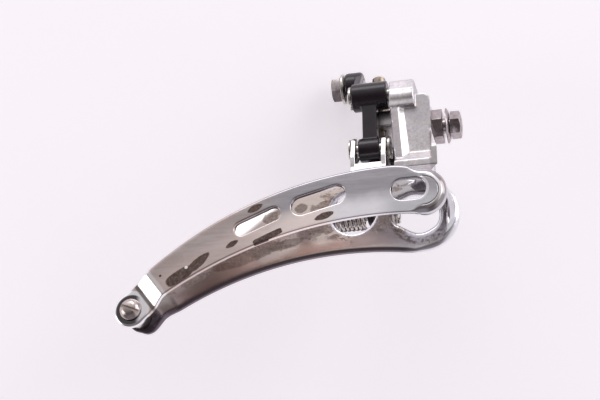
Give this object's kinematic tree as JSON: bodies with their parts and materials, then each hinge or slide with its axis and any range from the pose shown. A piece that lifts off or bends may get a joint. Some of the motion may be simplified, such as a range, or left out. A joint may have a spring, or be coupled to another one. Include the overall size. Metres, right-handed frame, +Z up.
{
  "type": "front derailleur",
  "caption": "Braze-on bicycle front derailleur: cast body, two parallel arms on pivot pins, return spring and a slotted chain cage that swings sideways.",
  "frame": {"origin": "on the mounting bolt's axis, at the plane where the body's saddle edges meet the spacer", "axes": "+X forwards on the bicycle, +Y inboard towards the frame (the outer cage plate faces -Y), +Z up"},
  "size_m": [0.1099, 0.041, 0.0946],
  "materials": {
    "cast_aluminium": "polished and softly brushed cast aluminium",
    "chrome_plate": "polished chrome plate with tarnish spots",
    "dark_steel": "dark polished steel",
    "plated_steel": "zinc plated steel, lightly worn",
    "black_anodised": "semi-gloss black anodised aluminium",
    "spring_steel": "bright spring wire with light rust"
  },
  "bodies": {
    "main": {"main_body": "cast_aluminium", "mount_bolt": "dark_steel", "mount_washer": "dark_steel", "mount_spacer": "dark_steel", "upper_outer_pin": "plated_steel", "upper_outer_clip": "plated_steel", "upper_inner_pin": "plated_steel", "upper_inner_clip": "plated_steel", "limit_spring_low": "spring_steel", "limit_spring_high": "spring_steel"},
    "low_screw": {"limit_screw_low": "dark_steel"},
    "high_screw": {"limit_screw_high": "dark_steel"},
    "outer_link": {"outer_arm": "black_anodised", "cable_clamp_bolt": "plated_steel", "cable_clamp_washer": "plated_steel"},
    "inner_link": {"inner_arm": "black_anodised"},
    "cage": {"cage_outer_plate": "chrome_plate", "cage_inner_plate": "chrome_plate", "tail_spacer": "plated_steel", "tail_screw": "plated_steel", "lower_outer_pin": "plated_steel", "lower_outer_clip": "plated_steel", "lower_inner_pin": "plated_steel", "lower_inner_clip": "plated_steel", "return_spring": "spring_steel"}
  },
  "joints": [
    {"name": "inner_arm_swing", "type": "hinge", "parent": "main", "child": "inner_link", "pos_m": [-0.018, 0.0093, -0.0055], "axis": [-1, 0, 0], "range_deg": [0, 36], "stiffness_Nm_per_rad": 0.3, "springref_deg": -40.11},
    {"name": "outer_arm_swing", "type": "hinge", "parent": "main", "child": "outer_link", "pos_m": [-0.018, -0.0032, 0.0122], "axis": [-1, 0, 0], "range_deg": [0, 36]},
    {"name": "cage_level", "type": "hinge", "parent": "inner_link", "child": "cage", "pos_m": [-0.02, 0.0093, -0.0251], "axis": [-1, 0, 0], "range_deg": [-36, 0], "deforming": ["return_spring"]},
    {"name": "low_screw_turn", "type": "hinge", "parent": "main", "child": "low_screw", "pos_m": [-0.0178, 0.0149, 0], "axis": [0, 0, 1], "continuous": true},
    {"name": "high_screw_turn", "type": "hinge", "parent": "main", "child": "high_screw", "pos_m": [-0.0178, 0.0043, 0], "axis": [0, 0, 1], "continuous": true}
  ],
  "couplings": [
    {"joint": "outer_arm_swing", "follows": "inner_arm_swing", "ratio": 1},
    {"joint": "cage_level", "follows": "inner_arm_swing", "ratio": -1}
  ]
}
